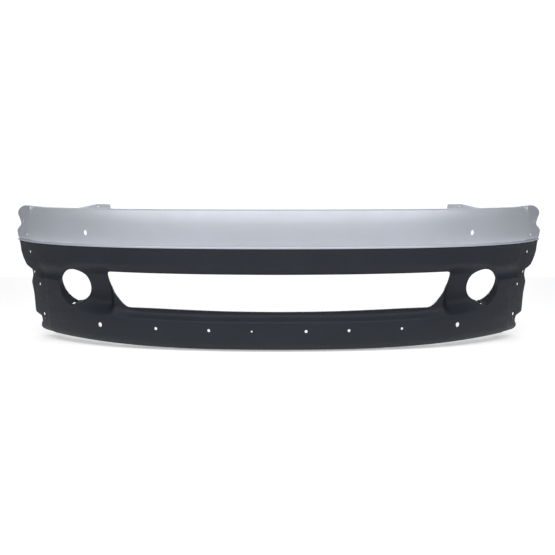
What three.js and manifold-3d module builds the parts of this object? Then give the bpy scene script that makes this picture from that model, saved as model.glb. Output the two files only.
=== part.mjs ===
// Front bumper cover of a car, in millimetres. +Z is up, the face looks along -Y and
// +X is to the right of someone who stands in front of it.
//
// Two moulded skins, a painted upper one and a grained lower one, meet at a seam where
// their return flanges are stacked and riveted. Behind them sit the fog lamp frames,
// the side guides and the spring nuts that take the undertray.
//
// The skins are described in skin coordinates: s is the distance along the front edge
// from the centre, the inset is how far a point lies behind that edge, and z is its
// height above the bottom edge. The finished group is moved so that its origin is the
// middle of the top flange, where the cover is screwed to the car.

import * as THREE from "three";
import { mergeVertices } from "three/addons/utils/BufferGeometryUtils.js";
import Module from "manifold-3d";

const wasm = await Module();
wasm.setup();

// ---- driving dimensions ---------------------------------------------------------

const WALL = 3;                // thickness of both mouldings
const GAP = 0.3;               // clearance between pieces that touch

// Front edge seen from above, from the centre outwards: radius and swept angle.
const PLAN_ARCS = [[1700, 13.5], [730, 50], [4000, 8]];

const TOP_Z = 430;             // top flange
const TOP_FLANGE_REAR = 45;    // inset of its rear edge
const FACE_Z = 345.7;          // where the upright face starts to lean back
const FACE_ARCS = [[290, 8, 1], [98, 32, 3], [12, 90, 2]];   // radius, lean, steps
const SEAM_Z = 312;            // underside of the upper moulding
const SEAM_FLANGE_REAR = 30;   // inset of the rear edge of the seam flanges
const BROW_Z = 262;            // soft edge above the grille and the lamps
const BROW_INSET = 6;
const CREASE_Z = 88;           // crisp edge below them
const CREASE_INSET = 8;
const TUCK_Z = 28.5;           // where the lower edge starts to curl under
const TUCK_INSET = 13.5;
const TUCK_RADIUS = 36;
const BOTTOM_FLANGE_REAR = 78;

// The bottom edge climbs towards the wheels.
const RISE = 17;
const RISE_FROM = 200;
const RISE_TO = 950;
const RISE_FADE_Z = [120, 230];

// Recess round the grille opening and the fog lamps.
const RECESS_STRAIGHT = 480;   // its lower edge runs level to here, then turns up
const RECESS_ROUND = 278;      // and reaches the brow this much further out
const RECESS_WALL = [24, 50];  // height over which the lower edge falls away: grille, lamps
const RECESS_WALL_S = [430, 600];
const RECESS_BROW = 45;        // height over which the brow curves under
const GRILLE_FLOOR = [25, 36]; // inset of the floor at the top and the bottom
const PILLAR_STEP = [535, 575];// s over which the floor steps back to the lamp plane
const CHEEK_DENT = 5;          // hollow under the brow, outboard of the lamps

// Fog lamp aperture: a circle in a plane that faces outwards and down.
const FOG = { x: 648, y: 201, z: 185.5, radius: 54.5, outward: 0.404, down: 0.306 };
const FOG_RIM = 4;             // depth of the rim behind the aperture

// Joggle line where the wheel-arch trim starts, and the flange beyond it.
const JOGGLE_S = 828;
const JOGGLE_LEAN = 113;
const JOGGLE_LEAN_Z = [160, 360];
const JOGGLE_DEPTH = 5;
const JOGGLE_WIDTH = 10;
const END_S = 1060;

// Beyond the joggle line the crown leans back less and the flange stands a little higher.
const END_CROWN = { width: 30, lean: 0.5, lift: 3, liftFrom: 400 };

// Raised tabs on the top flange.
const TAB = { inboard: [553, 576], outboard: [620, 682], rise: 13, reach: 17 };
const TAB_HOLE = { s: 612, radius: 7, oval: 1.3, inset: 50, above: 9 };

const SIDES = 8;                // facets round a small fastener or hole
const FOG_SIDES = 24;

const SEAM_RIVETS = [-790, -600, -400, -200, 0, 200, 400, 600, 790];
const RIVET_INSET = 19;
const CLIP_NUTS = [-550, -350, -150, 150, 350, 550];
const FOG_SCREW_ANGLES = [100, 200, 320];  // from outboard, going up
const FOG_SCREW_RADIUS = 67.7;
const FOG_BOSS = 14;           // how far the bosses stand behind the aperture's plane
const FOG_SCREW_HOLE = 7.5;    // depth at which the bosses' blind holes end
const FOG_SCREW_TIP = 8.3;
const FOG_RING = { inner: 64, outer: 74.5, depth: 18 };
const GUIDE = { span: [745, 900], front: 9.5, rear: 36, foot: 366, top: 392 };
const GUIDE_SCREWS = [770, 870];
const GUIDE_SCREW_Z = 380;

// ---- finishes -------------------------------------------------------------------

const finish = (name, color, roughness, metalness) =>
  Object.assign(new THREE.MeshStandardMaterial({ color, roughness, metalness }), { name });

const PAINT = finish("silver_paint", 0xb3b7c0, 0.42, 0.3);
const PLASTIC = finish("grained_plastic", 0x2c2f35, 0.75, 0);
const NYLON = finish("black_nylon", 0x191a1c, 0.6, 0);
const STEEL = finish("zinc_steel", 0xa6a8ab, 0.35, 0.9);

// ---- skin coordinates -----------------------------------------------------------

const radians = THREE.MathUtils.degToRad;
const mix = THREE.MathUtils.lerp;
const ease = (x, from, to) => THREE.MathUtils.smoothstep(x, from, to);

// Point and heading of the front edge at distance s from the centre.
function planAt(s) {
  let x = 0;
  let y = 0;
  let heading = 0;
  let left = Math.abs(s);
  PLAN_ARCS.forEach(([radius, sweep], i) => {
    const last = i === PLAN_ARCS.length - 1;
    const length = last ? left : Math.min(left, radius * radians(sweep));
    const next = heading + length / radius;
    x += radius * (Math.sin(next) - Math.sin(heading));
    y += radius * (Math.cos(heading) - Math.cos(next));
    heading = next;
    left -= length;
  });
  const side = Math.sign(s) || 1;
  return { x: side * x, y, heading: side * heading };
}

function skinPoint(s, inset, z) {
  const { x, y, heading } = planAt(s);
  return new THREE.Vector3(x - Math.sin(heading) * inset, y + Math.cos(heading) * inset, z);
}

// Frame on the skin: X along it, Y inwards, Z up.
function skinFrame(s, inset, z) {
  const { heading } = planAt(s);
  const turn = new THREE.Matrix4().makeRotationZ(heading);
  return turn.setPosition(skinPoint(s, inset, z));
}

const rise = (s) => RISE * ease(Math.abs(s), RISE_FROM, RISE_TO);
const riseAt = (s, level) => rise(s) * (1 - ease(level, ...RISE_FADE_Z));

const joggleLine = (z) => JOGGLE_S + JOGGLE_LEAN * ease(z, ...JOGGLE_LEAN_Z);
const joggle = (s, z) =>
  JOGGLE_DEPTH * ease(Math.abs(s) - joggleLine(z), 0, JOGGLE_WIDTH);
const beyondJoggle = (s, z) => ease(Math.abs(s) - joggleLine(z), 0, END_CROWN.width);

// Stations are numbered as if the joggle line were upright, then lean with it.
function stationS(u, z) {
  const lean = ease(Math.abs(u), 600, JOGGLE_S) * (joggleLine(z) - JOGGLE_S);
  return u + Math.sign(u) * lean;
}

// ---- recess ---------------------------------------------------------------------

// 1 on the lower and outer edge of the recess, less inside it.
function recessReach(s, level) {
  const across = Math.max(Math.abs(s) - RECESS_STRAIGHT, 0) / RECESS_ROUND;
  const down = Math.max(BROW_Z - level, 0) / (BROW_Z - CREASE_Z);
  const reach = Math.pow(across ** 4 + down ** 4, 0.25);
  const slope = Math.hypot(across ** 3 / RECESS_ROUND, down ** 3 / (BROW_Z - CREASE_Z));
  return { reach, slope: slope / Math.max(reach, 0.01) ** 3 };
}

// Level of the lower edge of the recess, held open where it would pinch out.
function creaseLevel(s) {
  const across = Math.max(Math.abs(s) - RECESS_STRAIGHT, 0) / RECESS_ROUND;
  const open = Math.pow(Math.max(1 - across ** 4, 0.02), 0.25);
  return BROW_Z - (BROW_Z - CREASE_Z) * open;
}

function baseInset(level) {
  const share = (BROW_Z - level) / (BROW_Z - CREASE_Z);
  return mix(BROW_INSET, CREASE_INSET, THREE.MathUtils.clamp(share, 0, 1));
}

function floorInset(s, level, z) {
  const { x, y, heading } = planAt(Math.abs(s));
  const share = (BROW_Z - level) / (BROW_Z - CREASE_Z);
  const centre = mix(GRILLE_FLOOR[0], GRILLE_FLOOR[1], share);
  const planeY = FOG.y + FOG.outward * (x - FOG.x) + FOG.down * (FOG.z - z);
  const lamp = (planeY - y) / (Math.cos(heading) + FOG.outward * Math.sin(heading));
  return mix(centre, lamp, ease(Math.abs(s), ...PILLAR_STEP));
}

function recessInset(s, level, z) {
  const base = baseInset(level);
  const { reach, slope } = recessReach(s, level);
  const brow = ease(BROW_Z - level, 0, RECESS_BROW);
  const outboard = ease(Math.abs(s), 700, 760) * (1 - ease(Math.abs(s), 850, 930));
  const dent = CHEEK_DENT * outboard * Math.sin(Math.PI * ease(BROW_Z - level, 0, 90)) ** 2;
  const wall = mix(...RECESS_WALL, ease(Math.abs(s), ...RECESS_WALL_S));
  const fall = THREE.MathUtils.clamp((1 - reach) / slope / wall, 0, 1);
  const depth = Math.max(floorInset(s, level, z) - base, 0);
  return base + dent + depth * brow * Math.sin(fall * Math.PI / 2);
}

// ---- moulded sections -----------------------------------------------------------
// A section is a list of [inset, z] points on the outside, from top to bottom.

// 1 on a raised tab of the top flange, 0 away from it.
const tabShare = (s) =>
  ease(Math.abs(s), ...TAB.inboard) * (1 - ease(Math.abs(s), ...TAB.outboard));

// Upright face and crown, as arcs that lean further and further back going up.
function crownPoints() {
  const points = [[0, FACE_Z]];
  let lean = 0;
  for (const [radius, to, steps] of FACE_ARCS) {
    const [inset, z] = points.at(-1);
    for (let i = 1; i <= steps; i++) {
      const angle = radians(mix(lean, to, i / steps));
      points.push([
        inset + radius * (Math.cos(radians(lean)) - Math.cos(angle)),
        z + radius * (Math.sin(angle) - Math.sin(radians(lean))),
      ]);
    }
    lean = to;
  }
  return points.reverse();
}

function upperSection(u) {
  const tab = tabShare(u);
  const flange = [TOP_FLANGE_REAR + TAB.reach * tab, TOP_Z + TAB.rise * tab];
  const crown = crownPoints();
  crown[0][1] = TOP_Z;
  const lip = [[1, 321.5], [4.5, 318.5], [2.6, 316.2], [2.5, SEAM_Z]];
  return [flange, ...crown, ...lip, [SEAM_FLANGE_REAR, SEAM_Z]].map(([inset, z]) => {
    const s = stationS(u, z);
    const beyond = beyondJoggle(s, z);
    const lean = z > FACE_Z ? 1 - END_CROWN.lean * beyond : 1;
    const lift = END_CROWN.lift * beyond * ease(z, END_CROWN.liftFrom, TOP_Z);
    const through = z < 317 ? 0.4 : 1;      // the lip runs on past the joggle
    return { s, inset: inset * lean + through * joggle(s, z), z: z + lift };
  });
}

// Curl of the lower edge, from the face to the bottom flange.
function tuckPoints(steps) {
  const start = radians(12);
  const points = [];
  for (let i = 0; i <= steps; i++) {
    const angle = mix(start, Math.PI / 2, i / steps);
    points.push([
      TUCK_INSET + TUCK_RADIUS * (Math.cos(start) - Math.cos(angle)),
      TUCK_RADIUS * (1 - Math.sin(angle)),
    ]);
  }
  return points;
}

function lowerSection(u) {
  const top = SEAM_Z - GAP;
  const shoulder = [[SEAM_FLANGE_REAR, top], [3, top], [4, 305], [5, 283]];
  const crease = creaseLevel(u);
  const shares = [0, 0.1, 0.2, 0.34, 0.62, 0.84, 0.93, 1];
  const recess = shares.map((share) => [null, mix(BROW_Z, crease, share)]);
  const below = [0.4, 0.75].map((share) => {
    const level = mix(crease, TUCK_Z, share);
    return [mix(CREASE_INSET, TUCK_INSET, ease(CREASE_Z - level, 0, 80)), level];
  });
  const flange = [[BOTTOM_FLANGE_REAR, 0]];
  return [...shoulder, ...recess, ...below, ...tuckPoints(3), ...flange].map(
    ([inset, level]) => {
      const s = stationS(u, level);
      const z = level + riseAt(s, level);
      const depth = inset ?? recessInset(s, level, z);
      return { s, inset: depth + joggle(s, z), z };
    },
  );
}

// The section moved inwards by the wall thickness, with mitred corners.
function innerSection(points) {
  const normals = points.slice(1).map((point, i) => {
    const along = new THREE.Vector2(point.inset - points[i].inset, point.z - points[i].z);
    return new THREE.Vector2(-along.y, along.x).normalize();
  });
  return points.map(({ s, inset, z }, i) => {
    const before = normals[Math.max(i - 1, 0)];
    const after = normals[Math.min(i, normals.length - 1)];
    const corner = before.clone().add(after).normalize();
    const reach = WALL / Math.max(corner.dot(before), 0.5);
    return { s, inset: inset + corner.x * reach, z: z + corner.y * reach };
  });
}

// Closed solid through one section per station: each section and its partner, point for
// point, are joined along their edges and ends.
function loft(stations, sectionAt, partnerOf) {
  const loops = stations.map((u) => {
    const outer = sectionAt(u);
    return [...outer, ...partnerOf(outer).reverse()].map(({ s, inset, z }) =>
      skinPoint(s, inset, z));
  });
  const ring = loops[0].length;
  const index = [];
  const quad = (a, b, c, d) => index.push(a, b, c, a, c, d);
  for (let i = 0; i + 1 < loops.length; i++) {
    for (let j = 0; j < ring; j++) {
      const next = (j + 1) % ring;
      quad(i * ring + j, i * ring + next, (i + 1) * ring + next, (i + 1) * ring + j);
    }
  }
  const end = (loops.length - 1) * ring;
  for (let j = 0; j + 1 < ring / 2; j++) {
    const across = ring - 1 - j;
    quad(j, across, across - 1, j + 1);
    quad(end + j, end + j + 1, end + across - 1, end + across);
  }
  const geometry = new THREE.BufferGeometry();
  const position = loops.flat().flatMap((point) => point.toArray());
  geometry.setAttribute("position", new THREE.Float32BufferAttribute(position, 3));
  geometry.setIndex(index);
  return geometry;
}

const mouldedSkin = (stations, sectionAt) => loft(stations, sectionAt, innerSection);

// Everything in front of a moulding, and down to a given inset under its outside.
function spaceInFront(stations, sectionAt, under) {
  const sunk = (u) =>
    sectionAt(u).map((point) => ({ ...point, inset: point.inset + under }));
  const ahead = (points) => points.map((point) => ({ ...point, inset: -100 }));
  return loft([...stations].reverse(), sunk, ahead);
}

// Evenly stepped numbers from one end to the other, both included.
const steps = (from, to, count) =>
  Array.from({ length: count + 1 }, (_, i) => mix(from, to, i / count));

// Mirrors a rising list of stations about the centre.
const mirrored = (side) => [...side.map((u) => -u).reverse(), 0, ...side];

// ---- solids ---------------------------------------------------------------------

function solidOf(geometry) {
  const bare = geometry.clone();
  bare.deleteAttribute("normal");
  bare.deleteAttribute("uv");
  const merged = mergeVertices(bare, 1e-4);
  const mesh = new wasm.Mesh({
    numProp: 3,
    vertProperties: new Float32Array(merged.attributes.position.array),
    triVerts: new Uint32Array(merged.index.array),
  });
  return new wasm.Manifold(mesh);
}

function geometryOf(solid) {
  const mesh = solid.getMesh();
  const geometry = new THREE.BufferGeometry();
  geometry.setAttribute("position", new THREE.BufferAttribute(mesh.vertProperties, 3));
  geometry.setIndex(new THREE.BufferAttribute(mesh.triVerts, 1));
  return geometry;
}

const cut = (solid, geometries) =>
  geometries.reduce((rest, geometry) => rest.subtract(solidOf(geometry)), solid);

const join = (solid, geometries) =>
  geometries.reduce((sum, geometry) => sum.add(solidOf(geometry)), solid);

// Cylinder along the frame's Y axis, from one distance to another.
function rod(frame, radius, from, to, sides = SIDES) {
  const geometry = new THREE.CylinderGeometry(radius, radius, to - from, sides);
  return geometry.translate(0, (from + to) / 2, 0).applyMatrix4(frame);
}

// Turned piece about the frame's Y axis; the profile is [radius, distance] pairs.
function turned(frame, profile, sides = SIDES) {
  const points = profile.map(([radius, along]) => new THREE.Vector2(radius, along));
  return new THREE.LatheGeometry([...points, points[0]], sides).applyMatrix4(frame);
}

// Turned piece whose profile starts and ends on the axis.
function turnedSolid(frame, profile, sides = SIDES) {
  const points = profile.map(([radius, along]) => new THREE.Vector2(radius, along));
  return new THREE.LatheGeometry(points, sides).applyMatrix4(frame);
}

// Outline extruded along Y, given as [x, z] points.
function prismAlongY(points, from, to) {
  const shape = new THREE.Shape(points.map(([x, z]) => new THREE.Vector2(x, z)));
  const geometry = new THREE.ExtrudeGeometry(shape, { depth: to - from, bevelEnabled: false });
  return geometry.rotateX(Math.PI / 2).translate(0, to, 0);
}

function mesh(name, geometry, material) {
  const result = new THREE.Mesh(geometry, material);
  result.name = name;
  return result;
}

// Axis through a fog lamp aperture: Y points inwards, square to the aperture's plane.
function fogFrame(side) {
  const inward = new THREE.Vector3(-FOG.outward * side, 1, FOG.down).normalize();
  const across = new THREE.Vector3().crossVectors(inward, new THREE.Vector3(0, 0, 1));
  across.normalize();
  const up = new THREE.Vector3().crossVectors(across, inward);
  const frame = new THREE.Matrix4().makeBasis(across, inward, up);
  return frame.setPosition(FOG.x * side, FOG.y, FOG.z);
}

// The same frame moved out to one of the fog lamp frame's screws.
function fogScrewFrame(side, angle) {
  const across = side * FOG_SCREW_RADIUS * Math.cos(radians(angle));
  const up = FOG_SCREW_RADIUS * Math.sin(radians(angle));
  return fogFrame(side).multiply(new THREE.Matrix4().makeTranslation(across, 0, up));
}

// ---- holes and outlines ---------------------------------------------------------

// Hole through the skin, square to it and optionally oval, long and leaning.
function skinHole({ s, z, radius, oval = 1, long = 1, lean = 0, tilt = 0, inset = 0 }) {
  const side = Math.sign(s);
  const shape = new THREE.Matrix4().makeRotationY(radians(lean) * side);
  shape.scale(new THREE.Vector3(long, 1, oval));
  const pitch = new THREE.Matrix4().makeRotationX(radians(tilt));
  return rod(skinFrame(s, inset, z).multiply(pitch).multiply(shape), radius, -14, 22);
}

const bothSides = (hole) => [hole, { ...hole, s: -hole.s }];

const UPPER_HOLES = [
  { s: 626, z: 355, radius: 7.2, oval: 1.2, lean: 20 },
  { s: 1040, z: 380, radius: 5, long: 1.5 },
  { s: 991, z: 336, radius: 5.5, long: 1.5 },
  { s: 968, z: 427, radius: 5.5, tilt: -40, inset: 13.6 },
].flatMap(bothSides);

const LOWER_HOLES = [
  ...[
    { s: 969, z: 279, radius: 5.5, long: 1.5 },
    { s: 935, z: 214, radius: 5, long: 1.35 },
    { s: 891, z: 176, radius: 5, long: 1.35 },
    { s: 867, z: 79, radius: 5.5, long: 1.35 },
    { s: 868, z: 64, radius: 3, long: 1.4 },
    { s: 580, z: 68, radius: 7.5 },
    { s: 215, z: 63, radius: 4.5 },
  ].flatMap(bothSides),
  { s: -383, z: 65, radius: 4.75 },
  { s: 383, z: 65, radius: 4 },
  { s: -83, z: 62, radius: 2.75 },
  { s: 83, z: 62, radius: 4.5 },
];

// Grille opening, right half from the top centre to the bottom centre.
const GRILLE_HALF = [
  [0, 233], [260, 233.5], [505, 235], [525, 235], [535, 231], [538, 222], [536, 210],
  [530, 192], [515, 170], [495, 145], [479, 130], [464, 124.5], [390, 124],
  [300, 122], [155, 119], [0, 118],
];

function grilleCutter() {
  const left = GRILLE_HALF.slice(1, -1).map(([x, z]) => [-x, z]).reverse();
  return prismAlongY([...GRILLE_HALF, ...left], -20, 260);
}

// The wheel-arch edge as [y, z] seen from the side: two soft lobes beside the painted
// flange, then straight runs and notches down to the bottom corner.
const ARCH_LOBES = [
  [357, 436], [400, 434], [450, 433], [490, 427], [512, 420], [526, 411], [520, 401],
  [495, 391], [472, 378], [465, 370], [474, 363], [497, 356], [522, 345], [512, 334],
  [506, 321], [492, 306],
];
const ARCH_STEPS = [
  [489, 297], [484, 276], [463, 257], [417, 233], [362, 221], [357, 205], [370, 179],
  [356, 144], [351, 115], [348, 81], [313, 71], [312, 55], [341, 27], [346, 18],
];

// Everything behind the wheel-arch edge.
function archCutter(side) {
  const vector = ([y, z]) => new THREE.Vector2(-y, z);
  const shape = new THREE.Shape([[340, 480], [340, 438], ARCH_LOBES[0]].map(vector));
  shape.splineThru(ARCH_LOBES.slice(1).map(vector));
  for (const [y, z] of [...ARCH_STEPS, [346, -40], [700, -40], [700, 480]]) {
    shape.lineTo(-y, z);
  }
  const depth = 440;
  const geometry = new THREE.ExtrudeGeometry(shape, {
    depth,
    curveSegments: 2,
    bevelEnabled: false,
  });
  // The outline's first axis becomes -Y, its second Z and the depth -X.
  geometry.applyMatrix4(new THREE.Matrix4().makeBasis(
    new THREE.Vector3(0, -1, 0),
    new THREE.Vector3(0, 0, 1),
    new THREE.Vector3(-1, 0, 0),
  ));
  return geometry.translate(side > 0 ? 620 + depth : -620, 0, 0);
}

// ---- sub-parts ------------------------------------------------------------------

const rivetFrame = (s) => {
  const upright = new THREE.Matrix4().makeRotationX(Math.PI / 2);
  return skinFrame(s, RIVET_INSET, SEAM_Z).multiply(upright);
};

function upperCover() {
  const side = [
    ...steps(80, 480, 5), ...steps(TAB.inboard[0], TAB.inboard[1], 2),
    ...steps(TAB.outboard[0], TAB.outboard[1], 2), ...steps(730, JOGGLE_S, 2),
    JOGGLE_S + JOGGLE_WIDTH, JOGGLE_S + END_CROWN.width, ...steps(900, END_S, 3),
  ];
  const skin = solidOf(mouldedSkin(mirrored(side), upperSection));
  const bosses = guideScrewFrames().map((frame) => rod(frame, 4.5, -6, -GAP));
  const cutters = [
    ...UPPER_HOLES.map(skinHole),
    ...SEAM_RIVETS.map((s) => rod(rivetFrame(s), 4, -6, 6)),
    ...guideScrewFrames().map((frame) => rod(frame, 2.2, -4.4, 2)),
    ...[-1, 1].map(tabHole),
    archCutter(1),
    archCutter(-1),
  ];
  return mesh("upper_cover", geometryOf(cut(join(skin, bosses), cutters)), PAINT);
}

function tabHole(side) {
  const { s, radius, oval, inset, above } = TAB_HOLE;
  const upright = new THREE.Matrix4().makeRotationX(Math.PI / 2);
  const stretch = new THREE.Matrix4().makeScale(oval, 1, 1);
  const frame = skinFrame(side * s, inset, TOP_Z + above);
  return rod(frame.multiply(upright).multiply(stretch), radius, -14, 14);
}

const LOWER_STATIONS = mirrored([
  ...steps(80, 480, 5), ...steps(505, 805, 12), JOGGLE_S,
  JOGGLE_S + JOGGLE_WIDTH, ...steps(885, END_S, 3),
]);

function lowerCover() {
  const front = spaceInFront(LOWER_STATIONS, lowerSection, 1);
  const rim = FOG.radius + 2.8;
  const added = [
    ...[1, -1].map((way) => rod(fogFrame(way), rim, -20, FOG_RIM, FOG_SIDES)),
    ...fogScrews().map(({ frame }) => rod(frame, 5, -40, FOG_BOSS)),
  ].map((geometry) => geometryOf(cut(solidOf(geometry), [front])));
  const skin = solidOf(mouldedSkin(LOWER_STATIONS, lowerSection));
  const cutters = [
    ...[1, -1].map((way) => rod(fogFrame(way), FOG.radius, -60, 40, FOG_SIDES)),
    ...[1, -1].map(fogNotch),
    ...fogScrews().map(({ frame }) => rod(frame, 2.2, FOG_SCREW_HOLE, FOG_BOSS + 2)),
    ...LOWER_HOLES.map(skinHole),
    ...SEAM_RIVETS.map((s) => rod(rivetFrame(s), 4, -6, 6)),
    ...CLIP_NUTS.map((s) => rod(clipFrame(s), 4, -6, 6)),
    grilleCutter(),
    archCutter(1),
    archCutter(-1),
  ];
  return mesh("lower_cover", geometryOf(cut(join(skin, added), cutters)), PLASTIC);
}

// Drain notch in the lower edge of a fog lamp aperture.
function fogNotch(side) {
  const geometry = new THREE.BoxGeometry(10, 60, 9);
  return geometry.translate(-6, 0, -FOG.radius).applyMatrix4(fogFrame(side));
}

const fogScrews = () =>
  [["left", -1], ["right", 1]].flatMap(([name, side]) =>
    FOG_SCREW_ANGLES.map((angle, i) => ({
      name: `fog_frame_screw_${name}_${i + 1}`,
      frame: fogScrewFrame(side, angle),
    })));

// Round frame that the fog lamp bolts to, screwed to bosses behind the skin.
function fogLampFrame(name, side) {
  const { inner, outer, depth } = FOG_RING;
  const seat = FOG_BOSS + GAP;
  const profile = [[inner, seat], [outer, seat], [outer, seat + depth],
    [outer - 2.5, seat + depth], [outer - 2.5, seat + WALL], [inner, seat + WALL]];
  const ring = solidOf(turned(fogFrame(side), profile, FOG_SIDES));
  const holes = FOG_SCREW_ANGLES.map((angle) =>
    rod(fogScrewFrame(side, angle), 2.4, seat - 1, seat + WALL + 1));
  return mesh(name, geometryOf(cut(ring, holes)), NYLON);
}

// Pan-head screw driven along -Y of its frame; the head's underside is at `seat`.
function panScrew(name, frame, seat, tip) {
  const profile = [[0, tip], [1.9, tip], [1.9, seat], [3.6, seat], [3.6, seat + 1.4],
    [2.6, seat + 2.6], [0, seat + 2.6]];
  return mesh(name, turnedSolid(frame, profile), STEEL);
}

// Expanding body of a push rivet through both seam flanges.
function rivetBody(name, s) {
  const under = -(WALL + GAP);
  const profile = [[1.8, under - 6], [3, under - 6], [3.6, under - 2], [3.6, WALL + GAP],
    [7.5, WALL + GAP], [7.5, WALL + 1.8], [1.8, WALL + 1.8]];
  return mesh(name, turned(rivetFrame(s), profile), NYLON);
}

// Pin that spreads the rivet's legs when it is pushed in.
function rivetPin(name, s) {
  const seat = WALL + 1.8 + GAP;
  const profile = [[0, -8.5], [1.5, -8.5], [1.5, seat], [4.2, seat], [3.4, seat + 1.6],
    [0, seat + 1.6]];
  return mesh(name, turnedSolid(rivetFrame(s), profile), NYLON);
}

// Frame on the bottom flange: X along it, Y down, Z inwards.
function clipFrame(s) {
  const down = new THREE.Matrix4().makeRotationX(-Math.PI / 2);
  return skinFrame(s, BOTTOM_FLANGE_REAR - 12, rise(s)).multiply(down);
}

// Spring nut folded over the rear edge of the bottom flange.
function clipNut(name, s) {
  const play = 0.6;
  const sheet = 1;
  const top = -(WALL + play);
  const rear = 12 + play;
  const outline = [[-10, top - sheet], [rear + sheet, top - sheet], [rear + sheet, play + sheet],
    [-12, play + sheet], [-12, play], [rear, play], [rear, top], [-10, top]];
  const shape = new THREE.Shape(outline.map(([back, drop]) => new THREE.Vector2(back, drop)));
  const width = 18;
  const geometry = new THREE.ExtrudeGeometry(shape, { depth: width, bevelEnabled: false });
  const turn = new THREE.Matrix4().makeBasis(
    new THREE.Vector3(0, 0, 1),
    new THREE.Vector3(0, 1, 0),
    new THREE.Vector3(-1, 0, 0),
  );
  geometry.translate(0, 0, -width / 2).applyMatrix4(turn).applyMatrix4(clipFrame(s));
  const hole = rod(clipFrame(s), 3, -12, 12);
  return mesh(name, geometryOf(cut(solidOf(geometry), [hole])), STEEL);
}

// Angle rail behind the upper corner that the wing's edge slides over.
function sideGuide(name, side) {
  const path = [[GUIDE.rear, GUIDE.top], [GUIDE.front, GUIDE.top], [GUIDE.front, GUIDE.foot]];
  const sectionAt = (s) => path.map(([inset, z]) => ({ s, inset, z }));
  const [near, far] = GUIDE.span.map((s) => s * side).sort((a, b) => a - b);
  const rail = solidOf(mouldedSkin(steps(near, far, 5), sectionAt));
  const holes = guideScrewFrames(side).map((frame) => rod(frame, 2.4, -1, 5));
  return mesh(name, geometryOf(cut(rail, holes)), NYLON);
}

// Frames of the guide screws, Y inwards from the guide's front face.
function guideScrewFrames(...sides) {
  const wanted = sides.length ? sides : [-1, 1];
  return wanted.flatMap((side) => GUIDE_SCREWS.map((s) => skinFrame(side * s, GUIDE.front, GUIDE_SCREW_Z)));
}

// ---- assembly -------------------------------------------------------------------

const bumper = new THREE.Group();
bumper.add(upperCover(), lowerCover());

const numbered = (i) => String(i + 1).padStart(2, "0");
SEAM_RIVETS.forEach((s, i) => {
  bumper.add(rivetBody(`seam_rivet_body_${numbered(i)}`, s));
  bumper.add(rivetPin(`seam_rivet_pin_${numbered(i)}`, s));
});
for (const [name, side] of [["left", -1], ["right", 1]]) {
  bumper.add(fogLampFrame(`fog_lamp_frame_${name}`, side));
  bumper.add(sideGuide(`side_guide_${name}`, side));
  guideScrewFrames(side).forEach((frame, i) => {
    bumper.add(panScrew(`side_guide_screw_${name}_${i + 1}`, frame, WALL + GAP, -4));
  });
}
for (const { name, frame } of fogScrews()) {
  bumper.add(panScrew(name, frame, FOG_BOSS + WALL + 2 * GAP, FOG_SCREW_TIP));
}
CLIP_NUTS.forEach((s, i) => {
  bumper.add(clipNut(`undertray_clip_nut_${i + 1}`, s));
});

bumper.position.set(0, -35, -TOP_Z);

export default bumper;
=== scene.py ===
import math

import bpy
import numpy as np
from mathutils import Matrix, Vector
from mathutils.bvhtree import BVHTree


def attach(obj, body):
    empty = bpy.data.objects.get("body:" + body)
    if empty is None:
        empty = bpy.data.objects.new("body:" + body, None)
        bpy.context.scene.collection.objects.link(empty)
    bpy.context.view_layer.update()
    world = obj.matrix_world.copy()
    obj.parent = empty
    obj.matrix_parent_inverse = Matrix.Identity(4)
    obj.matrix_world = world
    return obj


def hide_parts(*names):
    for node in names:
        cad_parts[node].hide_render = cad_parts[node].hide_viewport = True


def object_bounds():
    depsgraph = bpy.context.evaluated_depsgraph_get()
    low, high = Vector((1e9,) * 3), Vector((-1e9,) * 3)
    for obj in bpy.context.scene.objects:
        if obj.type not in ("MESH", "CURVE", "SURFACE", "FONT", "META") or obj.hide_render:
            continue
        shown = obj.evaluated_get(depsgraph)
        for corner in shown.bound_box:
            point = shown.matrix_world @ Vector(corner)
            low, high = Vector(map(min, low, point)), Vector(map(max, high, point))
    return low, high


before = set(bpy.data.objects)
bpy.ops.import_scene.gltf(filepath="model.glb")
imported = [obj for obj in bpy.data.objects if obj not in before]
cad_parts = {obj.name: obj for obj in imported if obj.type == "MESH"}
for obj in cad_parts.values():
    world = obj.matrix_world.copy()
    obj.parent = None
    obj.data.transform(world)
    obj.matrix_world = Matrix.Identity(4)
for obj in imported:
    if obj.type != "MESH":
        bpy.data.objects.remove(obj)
cad_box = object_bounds()

# Lengths below are millimetres in the part's own drawing frame, whose origin is the
# middle of the front edge at the bottom; ORIGIN is the row frame's origin in it.
ORIGIN = np.array([0.0, 35.0, 430.0])
MM = 0.001
WALL = 3.0
GAP = 0.3

# ---- skin coordinates -------------------------------------------------------------
# s is the distance along the front edge, the inset is the depth behind it, z the height.

PLAN_ARCS = [(1700.0, 13.5), (730.0, 50.0), (4000.0, 8.0)]
TOP_Z, FACE_Z, SEAM_Z, BROW_Z, CREASE_Z, TUCK_Z = 430.0, 345.7, 312.0, 262.0, 88.0, 28.5
BROW_INSET, CREASE_INSET, TUCK_INSET, TUCK_RADIUS = 6.0, 8.0, 13.5, 36.0
RECESS_STRAIGHT, RECESS_ROUND, RECESS_BROW = 480.0, 278.0, 45.0
END_S = 1060.0
FOG = {"x": 648.0, "y": 201.0, "z": 185.5, "radius": 54.5, "out": 0.404, "down": 0.306}
FOG_SCREW_ANGLES, FOG_SCREW_RADIUS, FOG_BOSS, FOG_RIM = (100, 200, 320), 67.7, 14.0, 4.0
FOG_HOLE_FLOOR, FOG_SCREW_TIP = 7.5, 8.3
FOG_RING = {"inner": 64.0, "outer": 74.5, "depth": 18}
RIVET_INSET = 19.0
CLIP_INSET = 66
JOGGLE_S, JOGGLE_LEAN, JOGGLE_DEPTH, JOGGLE_WIDTH = 828, 113, 5, 10
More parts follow.
